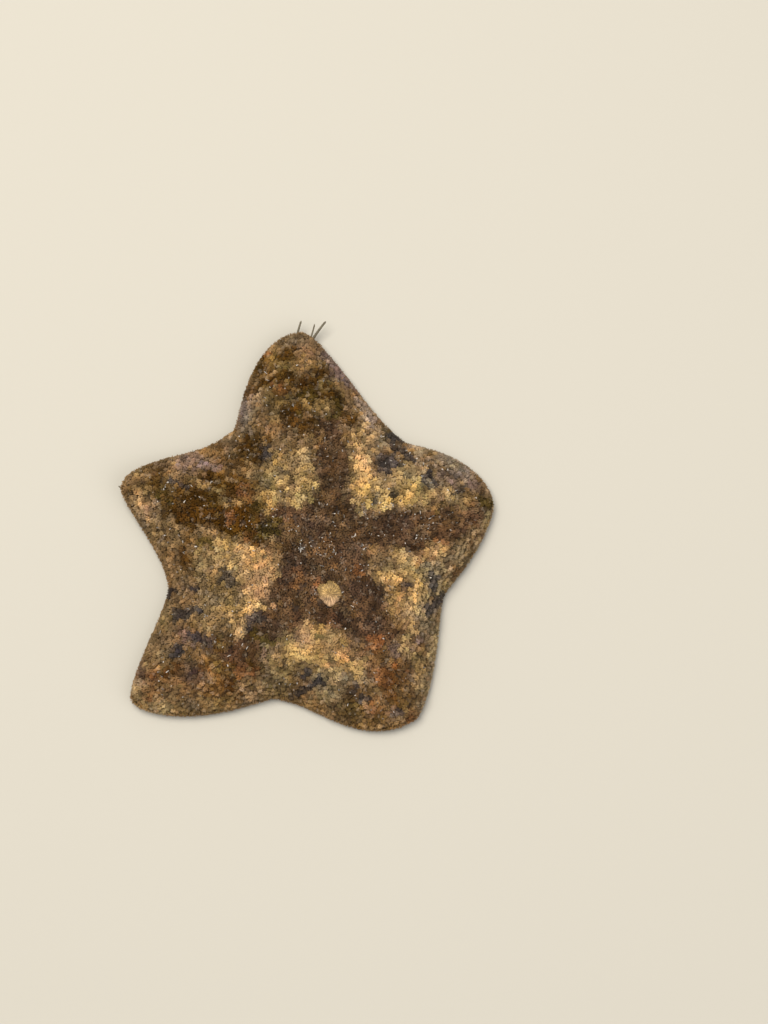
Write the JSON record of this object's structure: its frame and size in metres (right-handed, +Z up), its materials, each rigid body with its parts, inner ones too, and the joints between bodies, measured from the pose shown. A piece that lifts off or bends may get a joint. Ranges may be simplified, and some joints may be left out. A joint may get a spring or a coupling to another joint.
{
  "type": "cushion star (starfish)",
  "caption": "Small five-armed cushion starfish lying flat on the floor, with a domed granular back, a pale sieve plate, and grooves and tube feet below.",
  "frame": {"origin": "middle of the bounding box, at floor level under the starfish", "axes": "+Z up out of the back, +Y along the slender arm with the feelers, +X to the right seen from above"},
  "size_m": [0.0512, 0.0566, 0.0089],
  "materials": {
    "skin": "wet, finely granular living skin, dark brown bands with ochre and olive patches",
    "sieve_plate": "matte calcareous plate with fine radiating furrows",
    "membrane": "soft moist membrane",
    "jaw_plate": "matte calcareous plate",
    "eyespot": "moist red pigment cup"
  },
  "bodies": {
    "root": {"disc": "skin", "arm_top": "skin", "arm_left": "skin", "arm_lower_left": "skin", "arm_lower_right": "skin", "arm_right": "skin", "madreporite": "sieve_plate", "mouth_membrane": "membrane", "jaw_1": "jaw_plate", "jaw_2": "jaw_plate", "jaw_3": "jaw_plate", "jaw_4": "jaw_plate", "jaw_5": "jaw_plate", "eyespot_top": "eyespot", "eyespot_left": "eyespot", "eyespot_lower_left": "eyespot", "eyespot_lower_right": "eyespot", "eyespot_right": "eyespot"}
  },
  "joints": []
}
